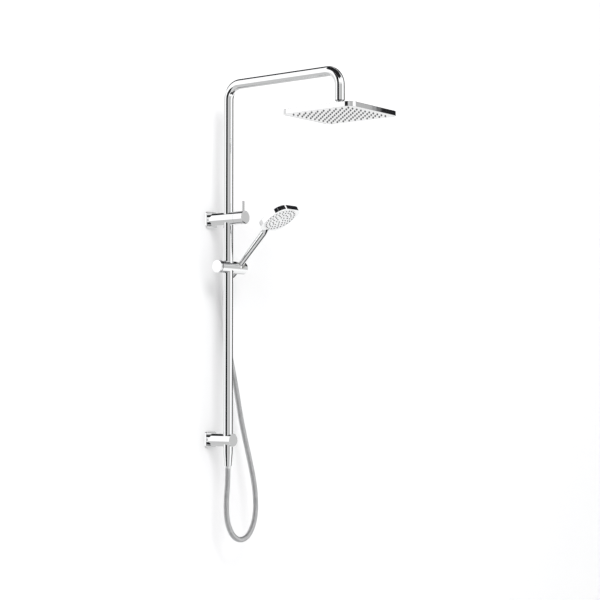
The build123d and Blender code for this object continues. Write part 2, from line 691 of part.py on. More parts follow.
THREAD_END = NUT_TOP_S - washer_at + SEAT  # along the handle
HANDLE_BORE_R = 5.0
NECK_W = 32.0
NECK_T = 9.0
RIM_R = HAND_FACE_R + 1.6
RIM_CLEAR = 3.0  # the neck is cut back this far in front of the rim
POCKET = 7.0
with BuildPart() as handset_body:
    with BuildSketch(face_plane(0)):
        RectangleRounded(HEAD_W, HEAD_L, HEAD_CORNER_R)
    extrude(amount=HEAD_T)
    back_face = handset_body.faces().sort_by(Axis(FACE_CENTRE, FACE_BACK))[-1]
    fillet(back_face.outer_wire().edges(), radius=0.8)
    with BuildSketch(handle_plane(THREAD_END)):
        Circle(G_HALF_D / 2)
    extrude(amount=NUT_TOP_S + 0.3 - THREAD_END)
    with BuildSketch(handle_plane(NUT_TOP_S + 0.3)):
        Circle(G_HALF_D / 2)
    with BuildSketch(handle_plane(NUT_TOP_S + 4)):
        Circle(HANDLE_LOW_D / 2)
    loft()
    with BuildSketch(handle_plane(NUT_TOP_S + 4)):
        Circle(HANDLE_LOW_D / 2)
    with BuildSketch(handle_plane(HANDLE_END)):
        Circle(HANDLE_TOP_D / 2)
    loft()
    neck_plane = Plane(
        origin=face_plane(HEAD_T / 2).from_local_coords((0, HEAD_L / 2 - 12, 0)),
        x_dir=(1, 0, 0),
        z_dir=face_plane(0).y_dir * -1,
    )
    with BuildSketch(handle_plane(HANDLE_END)):
        Circle(HANDLE_TOP_D / 2)
    with BuildSketch(neck_plane):
        Ellipse(NECK_W / 2, NECK_T / 2)
    loft()
    with BuildSketch(face_plane(0)):
        Circle(HAND_FACE_R + SEAT)
    extrude(amount=POCKET, mode=Mode.SUBTRACT)
    with BuildSketch(face_plane(-RIM_CLEAR)):
        Circle(RIM_R + SEAT)
    extrude(amount=RIM_CLEAR + 1.2, mode=Mode.SUBTRACT)
    with BuildSketch(handle_plane(THREAD_END)):
        Circle(HANDLE_BORE_R)
    extrude(amount=HANDLE_END - THREAD_END, mode=Mode.SUBTRACT)
    with BuildSketch(handle_plane(HANDLE_END)):
        Circle(HANDLE_BORE_R)
    with BuildSketch(neck_plane):
        Ellipse(HANDLE_BORE_R, 2.5)
    loft(mode=Mode.SUBTRACT)
save(handset_body.part, "handset_body")

HAND_NOZZLE_R = 1.25
HAND_NOZZLE_OUT = 1.3  # how far a nozzle stands out of the face
FACE_IN = 0.4
FACE_T = 2.0
MAT_T = 1.2


def hand_nozzles(radius):
    """The rings of round outlines of the handset's nozzles."""
    for ring_r, count in zip(HAND_RING_R, HAND_RING_COUNT):
        with PolarLocations(ring_r, count):
            Circle(radius)


with BuildPart() as handset_face:
    with BuildSketch(face_plane(FACE_IN)):
        Circle(HAND_FACE_R)
    extrude(amount=FACE_T)
    with BuildSketch(face_plane(FACE_IN)):
        hand_nozzles(HAND_NOZZLE_R + RUN)
    extrude(amount=FACE_T, mode=Mode.SUBTRACT)
save(handset_face.part, "handset_face")

with BuildPart() as handset_nozzle_mat:
    with BuildSketch(face_plane(FACE_IN + FACE_T)):
        Circle(HAND_FACE_R - 0.5)
    extrude(amount=MAT_T)
    with BuildSketch(face_plane(FACE_IN + FACE_T)):
        hand_nozzles(HAND_NOZZLE_R)
    extrude(amount=-FACE_IN - FACE_T - HAND_NOZZLE_OUT, taper=4)
save(handset_nozzle_mat.part, "handset_nozzle_mat")

save(disc(face_plane(-0.3), RIM_R, 1.4, HAND_FACE_R + RUN), "handset_rim")
save(disc(handle_plane(THREAD_END + 1), HANDLE_BORE_R - SEAT, 2.0, 3.2), "handset_flow_ring")

# ---- Overhead shower ----------------------------------------------------------------------

COLLAR_BORE_R = 10.0
LIP_TOP = COLLAR_END + 2.6
LIP_R = 8.25
SPIGOT_TOP = COLLAR_TOP + 8
with BuildPart() as swivel_collar:
    with BuildSketch(up_plane(COLLAR_END, DROP_Y)):
        Circle(TUBE_R)
    extrude(amount=COLLAR_TOP - COLLAR_END)
    chamfer(swivel_collar.faces().sort_by(Axis.Z)[0].edges(), length=2.4)
    with BuildSketch(up_plane(COLLAR_TOP, DROP_Y)):
        Circle(TUBE_R - TUBE_WALL - RUN)
    extrude(amount=SPIGOT_TOP - COLLAR_TOP)
    with BuildSketch(up_plane(LIP_TOP, DROP_Y)):
        Circle(COLLAR_BORE_R)
    extrude(amount=SPIGOT_TOP - LIP_TOP, mode=Mode.SUBTRACT)
    with BuildSketch(up_plane(COLLAR_END, DROP_Y)):
        Circle(LIP_R)
    extrude(amount=LIP_TOP - COLLAR_END, mode=Mode.SUBTRACT)
save(swivel_collar.part, "swivel_collar")

# The seal rests on the ball above its equator, clear of the ball's cut top at full tilt.
BALL_SEAL_R = 1.05
BALL_SEAL_CENTRE_R = 8.4
ball_seal_rise = sqrt((BALL_R + BALL_SEAL_R + RUN) ** 2 - BALL_SEAL_CENTRE_R**2)
with BuildPart() as swivel_seal:
    with Locations((0, DROP_Y, BALL_Z + ball_seal_rise)):
        Torus(BALL_SEAL_CENTRE_R, BALL_SEAL_R)
save(swivel_seal.part, "swivel_seal")

retainer_z = BALL_Z + ball_seal_rise + BALL_SEAL_R + RUN
save(disc(up_plane(retainer_z, DROP_Y), COLLAR_BORE_R - RUN, 4.5, 7.6), "swivel_retainer")

with BuildPart() as swivel_seat_ring:
    with BuildSketch(up_plane(LIP_TOP + SEAT, DROP_Y)):
        Circle(COLLAR_BORE_R - RUN)
    extrude(amount=5.2)
    with Locations((0, DROP_Y, BALL_Z)):
        Sphere(BALL_R + RUN, mode=Mode.SUBTRACT)
save(swivel_seat_ring.part, "swivel_seat_ring")

STUD_THREAD_R = 8.0
STUD_LOW = RAIN_TOP - 7.0
NECK_R = 6.5
HEX_T = 4.0
BALL_CUT = 6.5
with BuildPart() as ball_stud:
    with Locations((0, DROP_Y, BALL_Z)):
        Sphere(BALL_R)
    with BuildSketch(up_plane(BALL_Z + BALL_CUT, DROP_Y)):
        Circle(BALL_R)
    extrude(amount=BALL_R, mode=Mode.SUBTRACT)
    with BuildSketch(up_plane(RAIN_TOP, DROP_Y)):
        Circle(NECK_R)
    extrude(amount=BALL_Z - RAIN_TOP)
    with BuildSketch(up_plane(RAIN_TOP + RUN, DROP_Y)):
        RegularPolygon(11.0, 6)
    extrude(amount=HEX_T)
    with BuildSketch(up_plane(STUD_LOW, DROP_Y)):
        Circle(STUD_THREAD_R)
    extrude(amount=RAIN_TOP + RUN - STUD_LOW)
    with BuildSketch(up_plane(STUD_LOW, DROP_Y)):
        Circle(4.0)
    extrude(amount=BALL_Z + BALL_R - STUD_LOW, mode=Mode.SUBTRACT)
save(ball_stud.part, "ball_stud")

save(disc(up_plane(STUD_LOW + 1, DROP_Y), 3.9, 2.0, 1.6), "overhead_flow_ring")

RAIN_BOTTOM = RAIN_TOP - RAIN_T
SHELL_TOP_T = 3.0
RAIN_FACE_Z = RAIN_BOTTOM + 0.3
NOZZLE_R = 1.9
NOZZLE_OUT = 2.4
inner_w = RAIN_W - 2 * RAIN_BORDER
inner_d = RAIN_D - 2 * RAIN_BORDER
inner_r = RAIN_CORNER_R - RAIN_BORDER
with BuildPart() as overhead_shell:
    with BuildSketch(up_plane(RAIN_BOTTOM, DROP_Y)):
        RectangleRounded(RAIN_W, RAIN_D, RAIN_CORNER_R)
    extrude(amount=RAIN_T)
    fillet(overhead_shell.faces().sort_by(Axis.Z)[-1].edges(), radius=1.0)
    fillet(overhead_shell.faces().sort_by(Axis.Z)[0].edges(), radius=0.5)
    with BuildSketch(up_plane(RAIN_BOTTOM, DROP_Y)):
        RectangleRounded(inner_w, inner_d, inner_r)
    extrude(amount=RAIN_T - SHELL_TOP_T, mode=Mode.SUBTRACT)
    with BuildSketch(up_plane(RAIN_BOTTOM, DROP_Y)):
        Circle(STUD_THREAD_R + RUN)
    extrude(amount=RAIN_T, mode=Mode.SUBTRACT)
save(overhead_shell.part, "overhead_shell")

with BuildPart() as overhead_lock_nut:
    with BuildSketch(up_plane(STUD_LOW, DROP_Y)):
        RegularPolygon(12.5, 6)
        Circle(STUD_THREAD_R + RUN, mode=Mode.SUBTRACT)
    extrude(amount=RAIN_TOP - SHELL_TOP_T - SEAT - STUD_LOW)
save(overhead_lock_nut.part, "overhead_lock_nut")

with BuildPart() as overhead_face:
    with BuildSketch(up_plane(RAIN_FACE_Z, DROP_Y)):
        RectangleRounded(inner_w - 2 * SEAT, inner_d - 2 * SEAT, inner_r - SEAT)
        with GridLocations(RAIN_PITCH_X, RAIN_PITCH_Y, RAIN_ROWS, RAIN_ROWS):
            Circle(NOZZLE_R + RUN, mode=Mode.SUBTRACT)
    extrude(amount=FACE_T)
save(overhead_face.part, "overhead_face")

mat_z = RAIN_FACE_Z + FACE_T
with BuildPart() as overhead_nozzle_mat:
    with BuildSketch(up_plane(mat_z, DROP_Y)):
        RectangleRounded(inner_w - 4, inner_d - 4, inner_r - 2)
    extrude(amount=MAT_T)
    with BuildSketch(up_plane(mat_z, DROP_Y)):
        with GridLocations(RAIN_PITCH_X, RAIN_PITCH_Y, RAIN_ROWS, RAIN_ROWS):
            Circle(NOZZLE_R)
    extrude(amount=-FACE_T - 0.3 - NOZZLE_OUT, taper=8)
save(overhead_nozzle_mat.part, "overhead_nozzle_mat")

with BuildPart() as overhead_gasket:
    with BuildSketch(up_plane(mat_z + MAT_T, DROP_Y)):
        RectangleRounded(inner_w - 4, inner_d - 4, inner_r - 2)
        RectangleRounded(inner_w - 12, inner_d - 12, inner_r - 6, mode=Mode.SUBTRACT)
    extrude(amount=RAIN_TOP - SHELL_TOP_T - mat_z - MAT_T - SEAT)
save(overhead_gasket.part, "overhead_gasket")

# ---- Hose ---------------------------------------------------------------------------------


def hose_tube(points, name):
    """A tube on straight runs joined by tangent arcs, each as large as its runs allow."""
    route = [Vector(*p) for p in points]
    radii = []
    for before, at, after in zip(route, route[1:], route[2:]):
        turn = (at - before).get_angle(after - at)
        shorter = min((at - before).length, (after - at).length)
        radii.append(0.45 * shorter / tan(radians(turn) / 2))
    with BuildPart() as tube:
        with BuildLine() as path:
            FilletPolyline(*route, radius=radii)
        with BuildSketch(Plane(origin=path.line @ 0, z_dir=path.line % 0)):
            Circle(HOSE_D / 2)
            Circle(HOSE_BORE / 2, mode=Mode.SUBTRACT)
        sweep(path=path.line)
    length = path.wires()[0].length
    section = (HOSE_D**2 - HOSE_BORE**2) * pi / 4
    print(name, "radii", [round(r) for r in radii], "length", round(length, 1))
    print(name, "volume over section times length", round(tube.part.volume / section / length, 4))
    save(tube.part, name)


upper_nut_end = SOCKET + HANDLE_AXIS * (NUT_TOP_S - NUT_LENGTH)
last_corner = upper_nut_end - HANDLE_AXIS * TOP_RUN
cut = (Vector(*HOSE_ROUTE[-1]) + Vector(*HOSE_TOP_ROUTE[0])) * 0.5
hose_tube(HOSE_ROUTE + [tuple(cut)], "hose")
hose_tube([tuple(cut)] + HOSE_TOP_ROUTE + [tuple(last_corner), tuple(upper_nut_end)], "hose_top")
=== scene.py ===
"""Looks of a chrome shower column: overhead shower, diverter, slide rail, handset and hose.

Everything is in the shared frame, in metres: the wall's face is the plane Y = 0, +Y goes into
the wall, +X is to the right for a person facing it, and +Z is up.
"""

import json
import math

import bpy
import numpy as np
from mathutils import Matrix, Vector

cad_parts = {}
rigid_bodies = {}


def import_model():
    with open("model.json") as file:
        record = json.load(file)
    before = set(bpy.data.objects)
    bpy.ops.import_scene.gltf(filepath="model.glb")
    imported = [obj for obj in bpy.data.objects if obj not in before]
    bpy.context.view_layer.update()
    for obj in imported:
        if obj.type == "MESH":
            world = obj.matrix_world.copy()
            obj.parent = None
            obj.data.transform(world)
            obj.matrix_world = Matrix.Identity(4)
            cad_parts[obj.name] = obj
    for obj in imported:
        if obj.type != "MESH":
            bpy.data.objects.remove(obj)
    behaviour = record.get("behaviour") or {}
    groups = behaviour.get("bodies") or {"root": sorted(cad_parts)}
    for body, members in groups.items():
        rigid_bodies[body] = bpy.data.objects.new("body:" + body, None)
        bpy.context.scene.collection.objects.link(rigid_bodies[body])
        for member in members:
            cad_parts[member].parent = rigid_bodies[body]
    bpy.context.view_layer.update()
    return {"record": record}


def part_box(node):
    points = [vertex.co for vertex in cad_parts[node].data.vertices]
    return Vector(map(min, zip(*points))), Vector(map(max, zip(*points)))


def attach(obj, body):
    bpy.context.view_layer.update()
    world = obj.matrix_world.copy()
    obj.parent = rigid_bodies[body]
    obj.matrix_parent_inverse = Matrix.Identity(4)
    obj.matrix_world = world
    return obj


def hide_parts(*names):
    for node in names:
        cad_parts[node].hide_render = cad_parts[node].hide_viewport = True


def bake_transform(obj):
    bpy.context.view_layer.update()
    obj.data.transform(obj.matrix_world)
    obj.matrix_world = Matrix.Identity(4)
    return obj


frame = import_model()

MM = 0.001

bpy.context.scene.view_settings.view_transform = "Standard"


# ---- Camera -------------------------------------------------------------------------------

CAMERA_PLACE = (-3.12824, -2.69664, -0.41567)
CAMERA_TURN = -52.42  # degrees about the vertical, 0 looks straight at the wall
CAMERA_RISE = 2.93  # degrees above level
CAMERA_LENS = 97.08


def make_camera():
    """The camera looks along (-sin turn cos rise, cos turn cos rise, sin rise)."""
    turn, rise = math.radians(CAMERA_TURN), math.radians(CAMERA_RISE)
    ahead = Vector(
        (-math.sin(turn) * math.cos(rise), math.cos(turn) * math.cos(rise), math.sin(rise))
    )
    data = bpy.data.cameras.new("camera")
    data.lens = CAMERA_LENS
    data.sensor_width = 36
    data.clip_end = 50
    camera = bpy.data.objects.new("camera", data)
    camera.location = CAMERA_PLACE
    camera.rotation_mode = "QUATERNION"
    camera.rotation_quaternion = ahead.to_track_quat("-Z", "Y")
    bpy.context.collection.objects.link(camera)
    bpy.context.scene.camera = camera


make_camera()


# ---- Shader building blocks ---------------------------------------------------------------


def new_group(name, inputs, outputs):
    """An empty node group with named sockets; inputs are (name, type, value)."""
    group = bpy.data.node_groups.new(name, "ShaderNodeTree")
    for label, kind, value in inputs:
        socket = group.interface.new_socket(label, in_out="INPUT", socket_type=kind)
        if value is not None:
            socket.default_value = value
    for label, kind in outputs:
        group.interface.new_socket(label, in_out="OUTPUT", socket_type=kind)
    return group, group.nodes.new("NodeGroupInput"), group.nodes.new("NodeGroupOutput")


FLOAT, VECTOR = "NodeSocketFloat", "NodeSocketVector"


def math_node(tree, kind, first, second=None, third=None):
    """A math node fed by sockets or numbers; returns its output."""
    node = tree.nodes.new("ShaderNodeMath")
    node.operation = kind
    for slot, value in zip(node.inputs, (first, second, third)):
        if value is None:
            continue
        if isinstance(value, (int, float)):
            slot.default_value = value
        else:
            tree.links.new(value, slot)
    return node.outputs[0]


def noise_node(tree, place, scale, detail=3.0, rough=0.5):
    """A noise texture on a place socket; scale is a number or a socket."""
    node = tree.nodes.new("ShaderNodeTexNoise")
    node.inputs["Detail"].default_value = detail
    node.inputs["Roughness"].default_value = rough
    tree.links.new(place, node.inputs["Vector"])
    if isinstance(scale, (int, float)):
        node.inputs["Scale"].default_value = scale
    else:
        tree.links.new(scale, node.inputs["Scale"])
    return node.outputs["Fac"]


def spread(tree, value, low, high, out_low=0.0, out_high=1.0):
    """A value remapped from low..high to out_low..out_high and kept inside it."""
    node = tree.nodes.new("ShaderNodeMapRange")
    node.inputs["From Min"].default_value = low
    node.inputs["From Max"].default_value = high
    node.inputs["To Min"].default_value = out_low
    node.inputs["To Max"].default_value = out_high
    tree.links.new(value, node.inputs["Value"])
    return node.outputs["Result"]


def blend_colour(tree, factor, first, second):
    """A mix of two colours or colour sockets; returns the colour output."""
    node = tree.nodes.new("ShaderNodeMix")
    node.data_type = "RGBA"
    for label, value in (("A", first), ("B", second)):
        slot = [s for s in node.inputs if s.name == label and s.type == "RGBA"][0]
        if isinstance(value, tuple):
            slot.default_value = (*value, 1)
        else:
            tree.links.new(value, slot)
    if isinstance(factor, (int, float)):
        node.inputs["Factor"].default_value = factor
    else:
        tree.links.new(factor, node.inputs["Factor"])
    return [s for s in node.outputs if s.type == "RGBA"][0]


def make_polish_group():
    """Polish: roughness that drifts a little, with hair-fine wiping marks on top.

    Roughness = Base + Drift x slow noise + Marks x stretched fine noise above a threshold.
    """
    group, given, out = new_group(
        "polish",
        [
            ("Place", VECTOR, None),
            ("Base", FLOAT, 0.04),
            ("Drift", FLOAT, 0.03),
            ("Marks", FLOAT, 0.05),
        ],
        [("Roughness", FLOAT)],
    )
    slow = noise_node(group, given.outputs["Place"], 35.0, 2.0)
    stretch = group.nodes.new("ShaderNodeVectorMath")
    stretch.operation = "MULTIPLY"
    stretch.inputs[1].default_value = (1.0, 1.0, 0.06)
    group.links.new(given.outputs["Place"], stretch.inputs[0])
    fine = spread(group, noise_node(group, stretch.outputs[0], 900.0, 2.0), 0.58, 0.74)
    drift = math_node(group, "MULTIPLY_ADD", slow, given.outputs["Drift"], given.outputs["Base"])
    total = math_node(group, "MULTIPLY_ADD", fine, given.outputs["Marks"], drift)
    group.links.new(total, out.inputs["Roughness"])
    return group


def make_water_group():
    """Dried water: small round rims scattered over the surface.

    Mask = a thin ring at one distance from each cell's centre, kept in only some of the cells
    and broken up by noise.
    """
    group, given, out = new_group(
        "dried_water",
        [("Place", VECTOR, None), ("Scale", FLOAT, 140.0), ("Amount", FLOAT, 0.2)],
        [("Mask", FLOAT)],
    )
    cells = group.nodes.new("ShaderNodeTexVoronoi")
    group.links.new(given.outputs["Place"], cells.inputs["Vector"])
    group.links.new(given.outputs["Scale"], cells.inputs["Scale"])
    offset = math_node(group, "SUBTRACT", cells.outputs["Distance"], 0.3)
    ring = spread(group, math_node(group, "ABSOLUTE", offset), 0.0, 0.05, 1.0, 0.0)
    split = group.nodes.new("ShaderNodeSeparateColor")
    group.links.new(cells.outputs["Color"], split.inputs[0])
    kept = spread(group, split.outputs[0], 0.78, 0.82)
    broken = spread(group, noise_node(group, given.outputs["Place"], 60.0), 0.45, 0.6)
    mask = math_node(group, "MULTIPLY", math_node(group, "MULTIPLY", ring, kept), broken)
    amount = math_node(group, "MULTIPLY", mask, given.outputs["Amount"])
    group.links.new(amount, out.inputs["Mask"])
    return group


def make_grain_group():
    """Grain: a fine moulded or ground skin as a height, with a slow colour drift.

    Height = fine noise + half of a finer one. Shade = a slow noise around the middle.
    """
    group, given, out = new_group(
        "grain",
        [("Place", VECTOR, None), ("Scale", FLOAT, 1500.0)],
        [("Height", FLOAT), ("Shade", FLOAT)],
    )
    coarse = noise_node(group, given.outputs["Place"], given.outputs["Scale"], 2.0)
    double = math_node(group, "MULTIPLY", given.outputs["Scale"], 3.0)
    fine = noise_node(group, given.outputs["Place"], double, 1.0)
    group.links.new(math_node(group, "MULTIPLY_ADD", fine, 0.5, coarse), out.inputs["Height"])
    slow = noise_node(group, given.outputs["Place"], 45.0, 3.0)
    group.links.new(spread(group, slow, 0.3, 0.7), out.inputs["Shade"])
    return group


POLISH = make_polish_group()
WATER = make_water_group()
GRAIN = make_grain_group()


def start_material(name):
    """A material with its Principled shader and an Object coordinate socket."""
    material = bpy.data.materials.new(name)
    material.use_nodes = True
    tree = material.node_tree
    shader = tree.nodes["Principled BSDF"]
    place = tree.nodes.new("ShaderNodeTexCoord").outputs["Object"]
    return material, tree, shader, place


def use_group(tree, group, place, **values):
    """A node group placed in a material, with its own values on the named sockets."""
    node = tree.nodes.new("ShaderNodeGroup")
    node.node_tree = group
    tree.links.new(place, node.inputs["Place"])
    for label, value in values.items():
        node.inputs[label].default_value = value
    return node


def add_bump(tree, shader, height, strength, distance):
    """A bump from a height socket on the shader's normal."""
    bump = tree.nodes.new("ShaderNodeBump")
    bump.inputs["Strength"].default_value = strength
    bump.inputs["Distance"].default_value = distance
    tree.links.new(height, bump.inputs["Height"])
    tree.links.new(bump.outputs[0], shader.inputs["Normal"])


def chrome_material(name, colour, base, drift, marks, water):
    """Polished plate: mirror metal, wiping marks in the roughness, rims of dried water."""
    material, tree, shader, place = start_material(name)
    shader.inputs["Metallic"].default_value = 1.0
    polish = use_group(tree, POLISH, place, Base=base, Drift=drift, Marks=marks)
    spots = use_group(tree, WATER, place, Scale=150.0, Amount=water)
    smooth = polish.outputs["Roughness"]
    rough = math_node(tree, "MULTIPLY_ADD", spots.outputs["Mask"], 0.3, smooth)
    tree.links.new(rough, shader.inputs["Roughness"])
    dull = tuple(c * 0.93 for c in colour)
    tree.links.new(
        blend_colour(tree, spots.outputs["Mask"], colour, dull), shader.inputs["Base Color"]
    )
    add_bump(tree, shader, noise_node(tree, place, 55.0, 1.0), 0.03, 0.0004)
    return material


def ground_material(name, colour, metallic, rough, grain_scale, strength, shade=0.85):
    """Ground metal or moulded plastic: a fine skin, and a slow drift in colour and gloss."""
    material, tree, shader, place = start_material(name)
    shader.inputs["Metallic"].default_value = metallic
    grain = use_group(tree, GRAIN, place, Scale=grain_scale)
    darker = tuple(c * shade for c in colour)
    tree.links.new(
        blend_colour(tree, grain.outputs["Shade"], colour, darker), shader.inputs["Base Color"]
    )
    tree.links.new(
        spread(tree, grain.outputs["Shade"], 0.0, 1.0, rough * 0.85, rough * 1.2),
        shader.inputs["Roughness"],
    )
    add_bump(tree, shader, grain.outputs["Height"], strength, 0.0002)
    return material


def jacket_material():
    """The hose's wound jacket: bright crowns, and painted shade that darkens the grooves, read
    from the groove attribute.
    """
    material, tree, shader, place = start_material("hose_jacket")
    depth = tree.nodes.new("ShaderNodeAttribute")
    depth.attribute_name = "groove"
    polish = use_group(tree, POLISH, place, Base=0.24, Drift=0.12, Marks=0.12)
    shader.inputs["Metallic"].default_value = 0.9
    worn = spread(tree, noise_node(tree, place, 70.0, 3.0), 0.35, 0.7)
    crown = blend_colour(tree, worn, (0.96, 0.965, 0.97), (0.84, 0.85, 0.86))
    # Painted shade: the base colour darkens towards near black where the groove attribute is deep.
    tree.links.new(
        blend_colour(tree, depth.outputs["Fac"], crown, (0.2, 0.2, 0.205)),
        shader.inputs["Base Color"],
    )
    rough = math_node(tree, "MULTIPLY_ADD", depth.outputs["Fac"], 0.3, polish.outputs["Roughness"])
    tree.links.new(rough, shader.inputs["Roughness"])
    add_bump(tree, shader, noise_node(tree, place, 1800.0, 2.0), 0.25, 0.00015)
    return material


CHROME = chrome_material("bright_chrome", (0.90, 0.905, 0.91), 0.012, 0.014, 0.03, 0.25)
PLATED = chrome_material("plated_plastic", (0.89, 0.895, 0.90), 0.018, 0.016, 0.03, 0.3)
MIRROR_STEEL = chrome_material("polished_steel", (0.88, 0.885, 0.89), 0.05, 0.03, 0.05, 0.3)
STEEL = ground_material("ground_steel", (0.56, 0.56, 0.57), 1.0, 0.32, 900.0, 0.3)
BRASS = ground_material("machined_brass", (0.74, 0.56, 0.27), 1.0, 0.3, 800.0, 0.3)
RUBBER = ground_material("moulded_rubber", (0.03, 0.03, 0.031), 0.0, 0.6, 1400.0, 0.5)
SILICONE = ground_material("nozzle_silicone", (0.06, 0.061, 0.063), 0.0, 0.48, 1600.0, 0.4)
RAIN_SILICONE = ground_material("rain_silicone", (0.17, 0.172, 0.175), 0.0, 0.45, 1600.0, 0.4)
NYLON = ground_material("moulded_nylon", (0.68, 0.68, 0.65), 0.0, 0.5, 1200.0, 0.35, 0.92)
CERAMIC = ground_material("lapped_ceramic", (0.85, 0.85, 0.82), 0.0, 0.18, 2200.0, 0.1, 0.96)
PALE = ground_material("spray_face_pale", (0.93, 0.935, 0.94), 0.0, 0.25, 1500.0, 0.12, 0.98)
JACKET = jacket_material()

FINISHES = {
    "chrome_brass": CHROME,
    "plated_plastic": PLATED,
    "steel": STEEL,
    "brass": BRASS,
    "rubber": RUBBER,
    "silicone": SILICONE,
    "nylon": NYLON,
    "ceramic": CERAMIC,
    "hose_metal": JACKET,
    "pale_plastic": PALE,
}
OWN_FINISH = {"overhead_shell": CHROME, "overhead_face": MIRROR_STEEL}


def dress_cad_nodes():
    """Each carried-over node takes its slot's finish, unless it has one of its own."""
    for part in frame["record"]["subparts"]:
        node = bpy.data.objects[part["node"]]
        node.data.materials.clear()
        node.data.materials.append(
            OWN_FINISH.get(part["node"], FINISHES[part["material_slot"]])
        )


dress_cad_nodes()


# ---- Surfaces -----------------------------------------------------------------------------


def grid_faces(rows, columns):
    """Quads of a grid of rows x columns points that closes round its columns."""
    row = np.arange(rows - 1)[:, None] * columns
    column = np.arange(columns)[None, :]
    after = (column + 1) % columns
    quads = np.stack(
        [row + column, row + after, row + columns + after, row + columns + column], -1
    )
    return quads.reshape(-1, 4)


def make_piece(name, points, quads, rings, material, groove=None):
    """A mesh object from points, quads and closing rings of point numbers, shaded smooth."""
    mesh = bpy.data.meshes.new(name)
    faces = [tuple(q) for q in quads.tolist()] + [tuple(r) for r in rings]
    mesh.from_pydata(points.tolist(), [], faces)
    # A groove depth per point, which the hose jacket uses for painted shade in its grooves.
    if groove is not None:
        layer = mesh.attributes.new("groove", "FLOAT", "POINT")
        layer.data.foreach_set("value", groove.astype(np.float32).ravel())
    mesh.polygons.foreach_set("use_smooth", np.ones(len(mesh.polygons), bool))
    mesh.materials.append(material)
    mesh.update()
    piece = bpy.data.objects.new(name, mesh)
    bpy.context.collection.objects.link(piece)
    return piece


# ---- Hose ---------------------------------------------------------------------------------

# The same route as the part's, in millimetres.
HOSE_ROUTE = [
    (0, -60, -625),
    (0, -60, -662),
    (-6, -60, -712),
    (-4, -60, -763),
    (18, -60.5, -802),
    (51.5, -61, -816),
    (86, -61, -803),
    (111, -61, -757),
    (114, -56, -684),
    (97, -47, -598),
    (79, -37.5, -513),
    (67, -29.5, -423),
    (53, -20, -340),
    (46, -15, -261),
    (41.5, -14.5, -211),
    (39, -17.5, -177),
]
SLANT = math.sqrt(0.5)  # the handle leans 45 degrees
NUT_BELOW = 26.0  # from the slider's axis to the upper nut's end, along the handle
TOP_RUN = 20.0
SOCKET = np.array([37.5, -60.0, -123.0])
HANDLE_AXIS = np.array([0.0, -SLANT, SLANT])
HOSE_CUT = np.array([43.75, -14.75, -236.0]) * MM
HOSE_R = 7.0 * MM
RIB_PITCH = 2.4 * MM
RIB_DEPTH = 0.85 * MM
RIB_STEPS = 7  # along the hose, to each rib
HOSE_SIDES = 28
COLLAR = 5 * MM  # plain length at the nuts


def hose_line():
    """Points along a second-degree spline through the route, read from the curve itself."""
    ends = [SOCKET - HANDLE_AXIS * (NUT_BELOW + TOP_RUN), SOCKET - HANDLE_AXIS * NUT_BELOW]
    route = np.array(HOSE_ROUTE + [tuple(e) for e in ends]) * MM
    curve = bpy.data.curves.new("hose_route", "CURVE")
    curve.dimensions = "3D"
    spline = curve.splines.new("NURBS")
    spline.points.add(len(route) - 1)
    spline.points.foreach_set("co", np.c_[route, np.ones(len(route))].ravel())
    spline.order_u = 3
    spline.use_endpoint_u = True
    spline.resolution_u = 40
    holder = bpy.data.objects.new("hose_route", curve)
    mesh = bpy.data.meshes.new_from_object(holder)
    line = np.array([v.co for v in mesh.vertices])
    bpy.data.objects.remove(holder)
    bpy.data.meshes.remove(mesh)
    return line


def ribbed_tube(name, line, collar_start, collar_end):
    """A wound metal jacket along a line.

    Radius = hose radius - rib depth x a rounded notch of the phase, where the phase is the
    distance along the line over the pitch plus the angle over a full turn, so the ribs are a
    screw. Within a collar's length of a marked end the surface is plain.
    """
    steps = np.r_[0, np.cumsum(np.linalg.norm(np.diff(line, axis=0), axis=1))]
    length = steps[-1]
    count = int(length / RIB_PITCH * RIB_STEPS)
    along = np.linspace(0, length, count)
    centre = np.stack([np.interp(along, steps, line[:, k]) for k in range(3)], 1)
    rough_tangent = np.gradient(line, steps, axis=0)
    tangent = np.stack([np.interp(along, steps, rough_tangent[:, k]) for k in range(3)], 1)
    tangent /= np.linalg.norm(tangent, axis=1)[:, None]
    across = np.array([0, 1.0, 0]) - tangent[:, 1:2] * tangent
    across /= np.linalg.norm(across, axis=1)[:, None]
    third = np.cross(tangent, across)
    angle = np.linspace(0, 2 * np.pi, HOSE_SIDES, endpoint=False)
    phase = along[:, None] / RIB_PITCH + angle[None, :] / (2 * np.pi)
    notch = (0.5 - 0.5 * np.cos(2 * np.pi * phase)) ** 2.2
    plain = np.zeros(count)
    if collar_start:
        plain = np.maximum(plain, 1 - np.clip((along - collar_start) / MM, 0, 1))
    if collar_end:
        plain = np.maximum(plain, 1 - np.clip((length - collar_end - along) / MM, 0, 1))
    notch = notch * (1 - plain[:, None])
    radius = HOSE_R - RIB_DEPTH * notch
    ring = across[:, None] * np.cos(angle)[:, None] + third[:, None] * np.sin(angle)[:, None]
    points = centre[:, None] + ring * radius[..., None]
    quads = grid_faces(count, HOSE_SIDES)
    last = (count - 1) * HOSE_SIDES
    caps = [list(range(HOSE_SIDES))[::-1], list(range(last, last + HOSE_SIDES))]
    # The notch depth also goes on as the groove attribute, which the jacket uses for painted shade
    # in its grooves.
    return make_piece(name, points.reshape(-1, 3), quads, caps, JACKET, groove=notch), length


def make_hose():
    """The hose in two pieces on one line, cut at the line's point nearest HOSE_CUT."""
    line = hose_line()
    at = int(np.argmin(np.linalg.norm(line - HOSE_CUT, axis=1)))
    lower, upper = line[: at + 1], line[at:]
    hose, hose_length = ribbed_tube("hose_jacket", lower, COLLAR, 0)
    top, top_length = ribbed_tube("hose_jacket_top", upper, 0, COLLAR)
    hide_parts("hose")
    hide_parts("hose_top")
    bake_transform(hose)
    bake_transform(top)


make_hose()


# ---- Button spring ------------------------------------------------------------------------

SPRING_WIRE_R = 0.6 * MM
SPRING_R = 9.0 * MM
SPRING_PITCH = 3.0 * MM
WIRE_SIDES = 10
TURN_STEPS = 32


